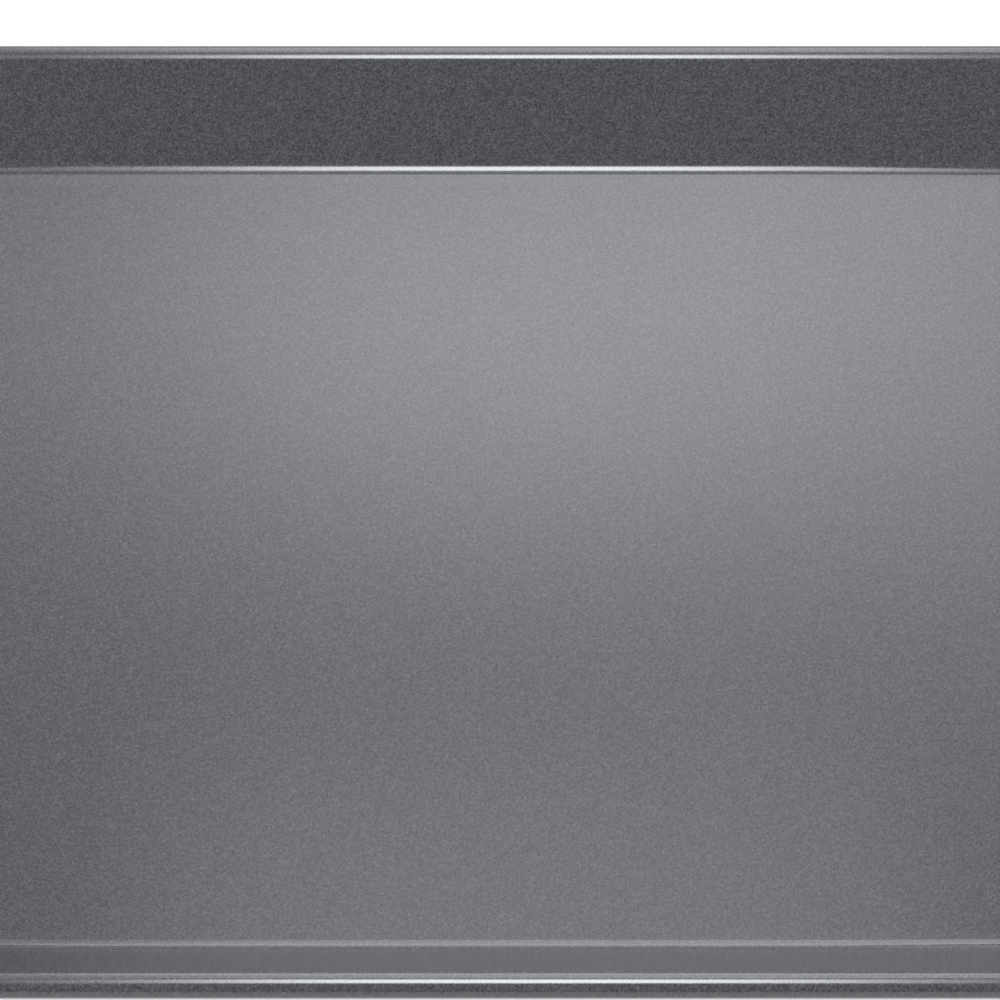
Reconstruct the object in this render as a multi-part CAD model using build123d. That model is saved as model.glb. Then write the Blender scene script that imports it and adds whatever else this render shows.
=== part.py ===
from build123d import *
import os
from math import acos, cos, degrees, radians, sin

# A rimmed cookie sheet. One blank of carbon steel is pressed into a shallow tray
# with flared walls. Its edge is rolled outwards and under, round a steel wire that
# stiffens the rim and stays hidden in the roll.
# Lengths are in millimetres and angles in degrees. +Z is up, and the origin is under
# the middle of the floor, on the surface that the tray stands on.

# Tray, over the rolled rim
overall_length = 438.0
overall_width = 292.0
overall_height = 25.4
sheet_thickness = 0.9
wall_lean = 39.7  # outwards, from upright
floor_corner_radius = 20.0  # where the floor ends, at the foot of the bend

# Bend from floor to wall, on the coated side. The sides have one radius. In the
# corners the metal is drawn further, and a tight bend opens into a wide one.
side_bend_radius = 4.5
corner_tight_radius = 3.0
corner_wide_radius = 25.0
corner_split_angle = 35.0  # the tilt at which the tight bend ends
corner_blend_share = 0.43  # of half a straight side: the run that turns from one bend to the other

# Rim
wire_diameter = 5.0
wire_clearance = 0.15  # round the wire, inside the roll
wire_end_gap = 1.0  # between the two ends of the bent wire
curl_edge_gap = 0.4  # from the rolled edge to the back of the wall

# The flat that every length of wall carries with it, as a share of the corner radius
floor_land_share = 0.5

# Worked out from the sizes above
wire_radius = wire_diameter / 2
roll_inner_radius = wire_radius + wire_clearance
roll_outer_radius = roll_inner_radius + sheet_thickness
rim_height = overall_height - roll_outer_radius
rim_half_length = overall_length / 2 - roll_outer_radius
rim_half_width = overall_width / 2 - roll_outer_radius
wall_tilt = 90 - wall_lean
curl_start_angle = 180 - wall_lean
curl_angle = 360 - degrees(acos((roll_inner_radius - curl_edge_gap) / roll_outer_radius))


def polar(centre, radius, angle):
    """The point at a radius and an angle from a centre, in the plane of a section."""
    return (
        centre[0] + radius * cos(radians(angle)),
        centre[1] + radius * sin(radians(angle)),
    )


def arc(centre, radius, start_angle, end_angle):
    """A circular edge from one angle to another."""
    middle_angle = (start_angle + end_angle) / 2
    return ThreePointArc(
        polar(centre, radius, start_angle),
        polar(centre, radius, middle_angle),
        polar(centre, radius, end_angle),
    )


def bend_centres(tight_radius, wide_radius):
    """Centres of the tight and the wide bend, with the wide one tangent to the wall.

    A section's first coordinate runs outwards from the middle of the rim wire, and
    its second one is the height above the table.
    """
    step = tight_radius - wide_radius
    tight_height = sheet_thickness + tight_radius
    wide_height = tight_height - step * cos(radians(corner_split_angle))
    lean_sine = sin(radians(wall_lean))
    lean_cosine = cos(radians(wall_lean))
    reach = roll_outer_radius + wide_radius - (wide_height - rim_height) * lean_sine
    wide_out = -reach / lean_cosine
    tight_out = wide_out - step * sin(radians(corner_split_angle))
    return (tight_out, tight_height), (wide_out, wide_height)


side_bend_start = bend_centres(side_bend_radius, side_bend_radius)[0][0]
rim_corner_radius = floor_corner_radius - side_bend_start
plate_corner_radius = floor_corner_radius * floor_land_share
plate_edge = plate_corner_radius - rim_corner_radius
straight_half_length = rim_half_length - rim_corner_radius
straight_half_width = rim_half_width - rim_corner_radius


def wall_section(tight_radius, wide_radius):
    """The sheet cut across one wall, from the flat floor to the rolled edge."""
    tight_centre, wide_centre = bend_centres(tight_radius, wide_radius)
    roll_centre = (0, rim_height)
    tight_end = corner_split_angle - 90
    wide_end = wall_tilt - 90
    curl_end = curl_start_angle - curl_angle
    outside_tight = tight_radius + sheet_thickness
    outside_wide = wide_radius + sheet_thickness

    tight_bend = arc(tight_centre, tight_radius, -90, tight_end)
    wide_bend = arc(wide_centre, wide_radius, tight_end, wide_end)
    roll = arc(roll_centre, roll_outer_radius, curl_start_angle, curl_end)
    roll_inside = arc(roll_centre, roll_inner_radius, curl_end, curl_start_angle)
    wide_outside = arc(wide_centre, outside_wide, wide_end, tight_end)
    tight_outside = arc(tight_centre, outside_tight, tight_end, -90)

    floor_top = Line((plate_edge, sheet_thickness), tight_bend @ 0)
    wall_inside = Line(wide_bend @ 1, roll @ 0)
    rolled_edge = Line(roll @ 1, roll_inside @ 0)
    wall_outside = Line(roll_inside @ 1, wide_outside @ 0)
    floor_under = Line(tight_outside @ 1, (plate_edge, 0))
    floor_cut = Line((plate_edge, 0), (plate_edge, sheet_thickness))
    edges = [
        floor_top,
        tight_bend,
        wide_bend,
        wall_inside,
        roll,
        rolled_edge,
        roll_inside,
        wall_outside,
        wide_outside,
        tight_outside,
        floor_under,
        floor_cut,
    ]
    return Face(Wire([Edge(edge.wrapped) for edge in edges]))


def wall_and_corner(straight_half, rim_distance):
    """The wall on the +Y side, blended at both ends, and the corner at its +X end."""
    side_face = wall_section(side_bend_radius, side_bend_radius)
    corner_face = wall_section(corner_tight_radius, corner_wide_radius)
    even_half = straight_half * (1 - corner_blend_share)

    def station(along):
        return Plane(origin=(along, rim_distance, 0), x_dir=(0, 1, 0), z_dir=(1, 0, 0))

    even_run = extrude(station(-even_half) * side_face, amount=2 * even_half, dir=(1, 0, 0))
    corner_axis = Axis((straight_half, rim_distance - rim_corner_radius, 0), (0, 0, -1))
    corner = revolve(station(straight_half) * corner_face, corner_axis, 90)
    blends = []
    for end in (-1, 1):
        even_end = station(end * even_half) * side_face
        corner_end = station(end * straight_half) * corner_face
        blends.append(loft([even_end, corner_end], ruled=True))
    return [even_run, *blends, corner]


def pan_body():
    """The pressed sheet: a flat floor, four walls and corners, and the rolled rim."""
    plate = RectangleRounded(
        2 * (rim_half_length + plate_edge),
        2 * (rim_half_width + plate_edge),
        plate_corner_radius,
    )
    long_wall = wall_and_corner(straight_half_length, rim_half_width)
    short_wall = wall_and_corner(straight_half_width, rim_half_length)
    walls = []
    for half_turn in (0, 180):
        walls += [Rot(0, 0, half_turn) * run for run in long_wall]
        walls += [Rot(0, 0, half_turn - 90) * run for run in short_wall]
    return extrude(plate, amount=sheet_thickness).fuse(*walls, glue=True).clean()


def rim_wire():
    """One length of round wire, bent into a ring whose ends meet behind the pan."""
    half_gap = wire_end_gap / 2
    path = FilletPolyline(
        (half_gap, rim_half_width, rim_height),
        (rim_half_length, rim_half_width, rim_height),
        (rim_half_length, -rim_half_width, rim_height),
        (-rim_half_length, -rim_half_width, rim_height),
        (-rim_half_length, rim_half_width, rim_height),
        (-half_gap, rim_half_width, rim_height),
        radius=rim_corner_radius,
    )
    section = Plane(origin=path @ 0, z_dir=path % 0) * Circle(wire_radius)
    return sweep(section, path=path)


os.makedirs("parts", exist_ok=True)
export_step(pan_body(), "parts/pan_body.step")
export_step(rim_wire(), "parts/rim_wire.step")
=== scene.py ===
import bmesh
import bpy
import numpy as np
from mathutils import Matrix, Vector


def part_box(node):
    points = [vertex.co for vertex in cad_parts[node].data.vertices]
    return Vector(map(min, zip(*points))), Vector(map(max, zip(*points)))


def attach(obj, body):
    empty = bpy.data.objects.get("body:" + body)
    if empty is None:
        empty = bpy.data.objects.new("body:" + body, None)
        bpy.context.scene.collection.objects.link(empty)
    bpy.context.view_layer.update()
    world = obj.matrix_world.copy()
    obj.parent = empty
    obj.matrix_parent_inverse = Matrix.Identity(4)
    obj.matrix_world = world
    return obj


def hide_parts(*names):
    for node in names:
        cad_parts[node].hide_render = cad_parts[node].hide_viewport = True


# A rimmed cookie sheet: one pressed steel tray with flared walls and a rolled rim,
# coated dark grey with a fine metallic fleck. Lengths are in metres.
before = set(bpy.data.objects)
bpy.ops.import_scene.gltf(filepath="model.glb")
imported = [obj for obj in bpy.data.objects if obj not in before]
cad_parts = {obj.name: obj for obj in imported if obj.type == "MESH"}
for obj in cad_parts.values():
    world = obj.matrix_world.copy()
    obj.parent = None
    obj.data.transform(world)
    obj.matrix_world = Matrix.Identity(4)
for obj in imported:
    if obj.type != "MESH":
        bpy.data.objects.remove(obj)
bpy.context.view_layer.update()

# Pan body
# One blank of carbon steel, pressed into a shallow tray. Its edge is rolled outwards
# and under, round the rim wire, and the whole sheet has a baked non-stick coating.
pan_low, pan_high = (np.array(corner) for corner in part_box("pan_body"))
wire_low, wire_high = (np.array(corner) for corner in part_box("rim_wire"))
SHEET = 0.0009
WALL_LEAN = np.radians(39.7)  # outwards, from upright
FLOOR_CORNER_RADIUS = 0.020
SIDE_BEND_RADIUS = 0.0045
CORNER_TIGHT_RADIUS = 0.0030
CORNER_WIDE_RADIUS = 0.0250
BEND_SPLIT = np.radians(35.0)  # the tilt at which the tight bend ends
CORNER_BLEND_SHARE = 0.43  # of half a straight side
CURL_EDGE_GAP = 0.0004  # from the rolled edge to the back of the wall
CROWN = 0.0008  # how far the middle of the floor bows up
FLOOR_REACH = 1.01 * SHEET  # points up to this height belong to the floor
rim_height = (wire_low[2] + wire_high[2]) / 2
roll_outer = pan_high[2] - rim_height
roll_inner = roll_outer - SHEET
rim_half = pan_high[:2] - roll_outer
wall_tilt = np.pi / 2 - WALL_LEAN
curl_start = np.pi - WALL_LEAN
curl_end = curl_start - 2 * np.pi + np.arccos((roll_inner - CURL_EDGE_GAP) / roll_outer)

# How finely the mesh follows the sheet
SIDE_SPACING = 0.006  # between stations along a side
CORNER_STEPS = 28
FLOOR_STEPS = 5
INSIDE_BEND_STEPS = 8
OUTSIDE_BEND_STEPS = 6
WALL_STEPS = 6
ROLL_STEPS = 56
ROLL_INSIDE_STEPS = 28
WELD_DISTANCE = 1e-6
CREASE_ANGLE = np.radians(40)


def bend_centres(tight, wide):
    """Centres of the two arcs of the floor bend, outwards from the rim wire and up.

    The tight arc touches the floor. The wide one starts where the tight one ends, and
    touches the line of the wall, which touches the roll.
    """
    tight_up = SHEET + tight
    wide_up = tight_up - (tight - wide) * np.cos(BEND_SPLIT)
    reach = roll_outer + wide - (wide_up - rim_height) * np.sin(WALL_LEAN)
    wide_out = -reach / np.cos(WALL_LEAN)
    tight_out = wide_out - (tight - wide) * np.sin(BEND_SPLIT)
    return tight_out, tight_up, wide_out, wide_up


side_bend_out = bend_centres(SIDE_BEND_RADIUS, SIDE_BEND_RADIUS)[0]
rim_corner_radius = FLOOR_CORNER_RADIUS - side_bend_out
straight_half = rim_half - rim_corner_radius
flat_half = straight_half + FLOOR_CORNER_RADIUS


def arc_points(centre_out, centre_up, radius, start, end, steps):
    """Points of an arc: its centre plus the radius times (cos, sin) of even angles."""
    angle = np.linspace(start, end, steps + 1)
    out = centre_out + radius * np.cos(angle)
    up = centre_up + radius * np.sin(angle)
    return np.stack([out, up], -1)


def line_points(start, end, steps):
    """Inner points of a straight run: the start plus even shares of the way to the end."""
    share = np.linspace(0, 1, steps + 1)[1:-1]
    return start + (end - start) * share[:, None]


def sheet_outline(corner_share):
    """The sheet cut across the wall at every station, from the corner centre's line
    on the floor's top, over the roll, and back under to the same line.

    Straight runs join arcs. The two radii of the floor bend go from the side's one
    radius to the corner's two by the station's share.
    """
    share = corner_share[:, None]
    tight = SIDE_BEND_RADIUS + (CORNER_TIGHT_RADIUS - SIDE_BEND_RADIUS) * share
    wide = SIDE_BEND_RADIUS + (CORNER_WIDE_RADIUS - SIDE_BEND_RADIUS) * share
    tight_out, tight_up, wide_out, wide_up = bend_centres(tight, wide)
    tight_start = -np.pi / 2
    tight_end = BEND_SPLIT - np.pi / 2
    wide_end = wall_tilt - np.pi / 2
    still = np.zeros_like(share)
    roll_up = still + rim_height
    core = np.concatenate([still - rim_corner_radius, still + SHEET], -1)[:, None]
    under_core = core * (1, 0)

    def tight_arc(radius, start, end, steps):
        return arc_points(tight_out, tight_up, radius, start, end, steps)

    def wide_arc(radius, start, end, steps):
        return arc_points(wide_out, wide_up, radius, start, end, steps)

    inside_tight = tight_arc(tight, tight_start, tight_end, INSIDE_BEND_STEPS)
    inside_wide = wide_arc(wide, tight_end, wide_end, INSIDE_BEND_STEPS)[:, 1:]
    roll = arc_points(still, roll_up, roll_outer, curl_start, curl_end, ROLL_STEPS)
    roll_inside = arc_points(still, roll_up, roll_inner, curl_end, curl_start, ROLL_INSIDE_STEPS)
    outside_wide = wide_arc(wide + SHEET, wide_end, tight_end, OUTSIDE_BEND_STEPS)
    outside_tight = tight_arc(tight + SHEET, tight_end, tight_start, OUTSIDE_BEND_STEPS)[:, 1:]
    runs = [
        core,
        line_points(core, inside_tight[:, :1], FLOOR_STEPS),
        inside_tight,
        inside_wide,
        line_points(inside_wide[:, -1:], roll[:, :1], WALL_STEPS),
        roll,
        roll_inside,
        line_points(roll_inside[:, -1:], outside_wide[:, :1], WALL_STEPS),
        outside_wide,
        outside_tight,
        line_points(outside_tight[:, -1:], under_core, FLOOR_STEPS),
        under_core,
    ]
    return np.concatenate(runs, 1)


def rim_stations(side_spacing, corner_steps):
    """Stations along the middle of the rim wire, a rounded rectangle, anticlockwise.

    Each has a foot on that line, the outward direction there, and the share of the
    way from the side's floor bend to the corner's.
    """
    feet, outward, corner_share = [], [], []
    for turn in range(4):
        out_axis, along_axis = (turn % 2, 1 - turn % 2)
        angle = turn * np.pi / 2
        normal = np.array([np.cos(angle), np.sin(angle)])
        tangent = np.array([-np.sin(angle), np.cos(angle)])
        half = straight_half[along_axis]
        steps = int(np.ceil(2 * half / side_spacing))
        along = np.linspace(-half, half, steps + 1)[:-1]
        feet.append(normal * rim_half[out_axis] + along[:, None] * tangent)
        outward.append(np.tile(normal, (steps, 1)))
        even = half * (1 - CORNER_BLEND_SHARE)
        corner_share.append(np.clip((np.abs(along) - even) / (half - even), 0, 1))
        bend = angle + np.linspace(0, np.pi / 2, corner_steps + 1)[:-1]
        spoke = np.stack([np.cos(bend), np.sin(bend)], -1)
        centre = normal * straight_half[out_axis] + tangent * half
        feet.append(centre + rim_corner_radius * spoke)
        outward.append(spoke)
        corner_share.append(np.ones(corner_steps))
    return np.concatenate(feet), np.concatenate(outward), np.concatenate(corner_share)


def shell_faces(station_count, point_count):
    """Quads between neighbouring stations and neighbouring points, round the loop."""
    here = np.arange(station_count)[:, None]
    following = (here + 1) % station_count
    point = np.arange(point_count - 1)[None]
    corners = [
        here * point_count + point,
        here * point_count + point + 1,
        following * point_count + point + 1,
        following * point_count + point,
    ]
    return np.stack(corners, -1).reshape(-1, 4)


def floor_grid(side_spacing, height, facing_up):
    """The flat middle of the floor, between the four corner centres, on a grid whose
    rows and columns meet the stations of the sides."""
    steps = np.ceil(2 * straight_half / side_spacing).astype(int)
    across = np.linspace(-straight_half[0], straight_half[0], steps[0] + 1)
    along = np.linspace(-straight_half[1], straight_half[1], steps[1] + 1)
    grid = np.stack(np.meshgrid(across, along, indexing="ij"), -1).reshape(-1, 2)
    points = np.concatenate([grid, np.full((len(grid), 1), height)], 1)
    row = np.arange(steps[0])[:, None]
    column = np.arange(steps[1])[None]
    first = row * (steps[1] + 1) + column
    corners = [first, first + steps[1] + 1, first + steps[1] + 2, first + 1]
    if not facing_up:
        corners = corners[::-1]
    return points, np.stack(corners, -1).reshape(-1, 4)


def crowned(places):
    """Lifts the floor's points by the crown, times one minus the square of the share of
    the way to the floor's edge along each axis. A real pressed floor bows up a little."""
    share = np.clip(np.abs(places[:, :2]) / flat_half, 0, 1)
    lift = CROWN * np.prod(1 - share**2, axis=1)
    on_floor = places[:, 2] < FLOOR_REACH
    return places + (lift * on_floor)[:, None] * (0, 0, 1)


def add_mesh(name, places, faces):
    """A mesh object from arrays, with its doubled points merged and creases sharp."""
    mesh = bpy.data.meshes.new(name)
    mesh.from_pydata(places.tolist(), [], faces.tolist())
    work = bmesh.new()
    work.from_mesh(mesh)
    bmesh.ops.remove_doubles(work, verts=work.verts, dist=WELD_DISTANCE)
    work.to_mesh(mesh)
    work.free()
    mesh.shade_smooth()
    mesh.set_sharp_from_angle(angle=CREASE_ANGLE)
    piece = bpy.data.objects.new(name, mesh)
    bpy.context.scene.collection.objects.link(piece)
    return piece


feet, outward, corner_share = rim_stations(SIDE_SPACING, CORNER_STEPS)
outline = sheet_outline(corner_share)
ground = feet[:, None] + outward[:, None] * outline[..., :1]
shell = np.concatenate([ground, outline[..., 1:]], -1)
floor_top, top_faces = floor_grid(SIDE_SPACING, SHEET, True)
floor_under, under_faces = floor_grid(SIDE_SPACING, 0.0, False)
places = [crowned(part) for part in (shell.reshape(-1, 3), floor_top, floor_under)]
starts = np.cumsum([0] + [len(part) for part in places])
faces = [shell_faces(*shell.shape[:2]), top_faces + starts[1], under_faces + starts[2]]
pan = add_mesh("pan_body_pressed", np.concatenate(places), np.concatenate(faces))


def linear(hex_colour):
    """An sRGB hex colour as linear red, green, blue and one."""
    shade = np.array([int(hex_colour[i : i + 2], 16) for i in (1, 3, 5)]) / 255
    curve = np.where(shade <= 0.04045, shade / 12.92, ((shade + 0.055) / 1.055) ** 2.4)
    return (*curve, 1.0)


def node(tree, kind, settings=None, **links):
    """Adds a node, sets its attributes, and sets or links its inputs. An input goes by
    its name, or by the letter i and its place."""
    made = tree.nodes.new(kind)
    for key, value in (settings or {}).items():
        setattr(made, key, value)
    for key, value in links.items():
        by_place = key[0] == "i" and key[1:].isdigit()
        socket = made.inputs[int(key[1:]) if by_place else key.replace("_", " ")]
        if isinstance(value, bpy.types.NodeSocket):
            tree.links.new(value, socket)
        else:
            socket.default_value = value
    return made


def new_material(name):
    """An empty node material, and its tree."""
    material = bpy.data.materials.new(name)
    material.use_nodes = True
    material.node_tree.nodes.clear()
    return material, material.node_tree


# Non-stick coating: a dark grey resin with fine metal flake, sprayed on and baked. Its
# clear top gives clean satin reflections, and the flake below it a fine light speckle.
# The flake lifts the mirror share above plain resin's, which the high IOR stands for.
FLECK = 0.0004  # across one cell of flake
FLASH_POWER = 1.4
MEAN_FLASH = 1.05  # the average of all the flashes
MEAN_SHARE = 0.25  # of the flake's colour in the coating
MOTTLE = 0.030  # across one slow change of roughness
FLOOR_UPWARD = 0.97  # height of the unit normal where the floor's contrast ends
WALL_UPWARD = 0.75  # and where the walls' contrast starts
FLOOR_CONTRAST = 0.28
WALL_CONTRAST = 0.42
LEAST_ROUGH = 0.165
MOST_ROUGH = 0.185
coating, tree = new_material("non_stick_coating")
where = node(tree, "ShaderNodeTexCoord").outputs
fleck = node(tree, "ShaderNodeTexVoronoi", Vector=where["Object"], Scale=1 / FLECK)
draws = node(tree, "ShaderNodeSeparateColor", Color=fleck.outputs["Color"]).outputs
# Each flake's flash is a power of the sum of two even draws, so few flash brightly
turn = node(tree, "ShaderNodeMath", i0=draws[0], i1=draws[1])
flash = node(tree, "ShaderNodeMath", {"operation": "POWER"}, i0=turn.outputs[0], i1=FLASH_POWER)
upward = node(tree, "ShaderNodeSeparateXYZ", Vector=where["Normal"])
# The spray meets the leaning walls at a slant, so their flake lies less flat and shows more
contrast = node(
    tree,
    "ShaderNodeMapRange",
    Value=upward.outputs["Z"],
    From_Min=FLOOR_UPWARD,
    From_Max=WALL_UPWARD,
    To_Min=FLOOR_CONTRAST,
    To_Max=WALL_CONTRAST,
)
centred = node(
    tree,
    "ShaderNodeMath",
    {"operation": "SUBTRACT"},
    i0=flash.outputs[0],
    i1=MEAN_FLASH,
)
sparkle = node(
    tree,
    "ShaderNodeMath",
    {"operation": "MULTIPLY_ADD"},
    i0=centred.outputs[0],
    i1=contrast.outputs["Result"],
    i2=MEAN_SHARE,
)
shade = node(
    tree,
    "ShaderNodeMix",
    {"data_type": "RGBA", "clamp_factor": False},
    Factor=sparkle.outputs[0],
    i6=linear("#303236"),
    i7=linear("#717278"),
)
mottle = node(tree, "ShaderNodeTexNoise", Vector=where["Object"], Scale=1 / MOTTLE, Detail=3.0)
rough = node(
    tree,
    "ShaderNodeMapRange",
    Value=mottle.outputs["Fac"],
    To_Min=LEAST_ROUGH,
    To_Max=MOST_ROUGH,
)
skin = node(
    tree,
    "ShaderNodeBsdfPrincipled",
    Base_Color=shade.outputs[2],
    Roughness=rough.outputs["Result"],
    IOR=1.88,
    Specular_Tint=linear("#f6f8ff"),
)
node(tree, "ShaderNodeOutputMaterial", Surface=skin.outputs[0])
pan.data.materials.append(coating)
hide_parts("pan_body")
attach(pan, "root")

# Rim wire
# A length of drawn steel wire, bent into a ring and trapped inside the rolled rim.
# It stays as the CAD node, and only its finish is set here.
WIRE_DRAW = 0.0002  # across one mark of the drawing die
WIRE_LEAST_ROUGH = 0.28
WIRE_MOST_ROUGH = 0.42
steel, tree = new_material("drawn_steel_wire")
where = node(tree, "ShaderNodeTexCoord").outputs["Object"]
draw = node(tree, "ShaderNodeTexNoise", Vector=where, Scale=1 / WIRE_DRAW, Detail=2.0)
rough = node(
    tree,
    "ShaderNodeMapRange",
    Value=draw.outputs["Fac"],
    To_Min=WIRE_LEAST_ROUGH,
    To_Max=WIRE_MOST_ROUGH,
)
skin = node(
    tree,
    "ShaderNodeBsdfPrincipled",
    Base_Color=linear("#b9b8b5"),
    Metallic=1.0,
    Roughness=rough.outputs["Result"],
)
node(tree, "ShaderNodeOutputMaterial", Surface=skin.outputs[0])
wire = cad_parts["rim_wire"]
wire.data.materials.clear()
wire.data.materials.append(steel)

# Studio table
# A plain pale table under the tray. The camera and the tray's gloss see it white, with
# the tray's own soft shadow on it, and it throws little light back on the tray.
TABLE_HALF = 4.0
paper, tree = new_material("pale_table")
ray = node(tree, "ShaderNodeLightPath").outputs
matt = node(tree, "ShaderNodeBsdfDiffuse", Color=linear("#b8b8b8"))
glow = node(tree, "ShaderNodeEmission", Color=linear("#ffffff"), Strength=0.6)
both = node(tree, "ShaderNodeAddShader", i0=matt.outputs[0], i1=glow.outputs[0])
clear = node(tree, "ShaderNodeMath", i0=ray["Is Glossy Ray"], i1=ray["Is Transmission Ray"])
seen = node(
    tree,
    "ShaderNodeMath",
    {"use_clamp": True},
    i0=ray["Is Camera Ray"],
    i1=clear.outputs[0],
)
mixed = node(
    tree,
    "ShaderNodeMixShader",
    i0=seen.outputs[0],
    i1=matt.outputs[0],
    i2=both.outputs[0],
)
node(tree, "ShaderNodeOutputMaterial", Surface=mixed.outputs[0])
table = bpy.data.meshes.new("white_table")
corners = [(-1, -1), (1, -1), (1, 1), (-1, 1)]
table.from_pydata([(x * TABLE_HALF, y * TABLE_HALF, 0) for x, y in corners], [], [(0, 1, 2, 3)])
table.materials.append(paper)
floor = bpy.data.objects.new("white_table", table)
bpy.context.scene.collection.objects.link(floor)


def area_light(name, middle, target, width, depth, radiance):
    """A rectangular lamp whose face has one radiance: its power is radiance, times
    pi, times its area."""
    lamp = bpy.data.lights.new(name, "AREA")
    lamp.shape = "RECTANGLE"
    lamp.size, lamp.size_y = width, depth
    lamp.energy = radiance * np.pi * width * depth
    holder = bpy.data.objects.new(name, lamp)
    bpy.context.scene.collection.objects.link(holder)
    holder.location = middle
    way = Vector(target) - Vector(middle)
    holder.rotation_euler = way.to_track_quat("-Z", "Y").to_euler()
    holder.visible_camera = False


# Studio lights: one softbox overhead with a dim panel round it, a light backdrop behind
# the tray with a narrower foot and a brighter strip, and a dim room. Angles are elevations
# seen from the tray, and go on past 90 in front of it.
def overhead(name, across, height, back, front, width, radiance):
    """A lamp that faces down, between two angles behind and in front of the tray."""
    back_edge, front_edge = height / np.tan(np.radians((back, front)))
    middle = Vector((across, (back_edge + front_edge) / 2, height))
    area_light(name, middle, middle - Vector((0, 0, 1)), width, back_edge - front_edge, radiance)


def behind(name, across, away, low, high, width, radiance):
    """A lamp that faces the tray from behind, between two angles."""
    foot, top = away * np.tan(np.radians((low, high)))
    middle = Vector((across, away, (foot + top) / 2))
    area_light(name, middle, middle - Vector((0, 1, 0)), width, top - foot, radiance)


overhead("softbox", 0.026, height=1.0, back=81.7, front=110.4, width=0.215, radiance=8.86)
overhead("panel", 0.03, height=1.01, back=64.8, front=115.0, width=0.31, radiance=0.93)
behind("backdrop", 0.75, away=2.0, low=44.0, high=59.6, width=1.90, radiance=2.05)
behind("backdrop_foot", 0.06, away=2.0, low=6.8, high=44.0, width=0.58, radiance=2.15)
behind("strip", -0.12, away=1.98, low=55.1, high=58.0, width=0.81, radiance=1.87)
ROOM_STRENGTH = 0.49
world = bpy.data.worlds.new("studio")
bpy.context.scene.world = world
world.use_nodes = True
room = world.node_tree.nodes["Background"].inputs
room["Color"].default_value = linear("#ffffff")
room["Strength"].default_value = ROOM_STRENGTH

# Camera at the photo's viewing angle
ELEVATION = np.radians(59.38)
DISTANCE = 2.339
AIM = Vector((0.0134, 0.0152, 0.0))
FOCAL_LENGTH_MM = 313.9
lens = bpy.data.cameras.new("camera")
lens.lens = FOCAL_LENGTH_MM
camera = bpy.data.objects.new("camera", lens)
bpy.context.scene.collection.objects.link(camera)
back = Vector((0, -np.cos(ELEVATION), np.sin(ELEVATION)))
camera.location = AIM + DISTANCE * back
camera.rotation_euler = (-back).to_track_quat("-Z", "Y").to_euler()
bpy.context.scene.camera = camera
bpy.context.scene.view_settings.view_transform = "Standard"
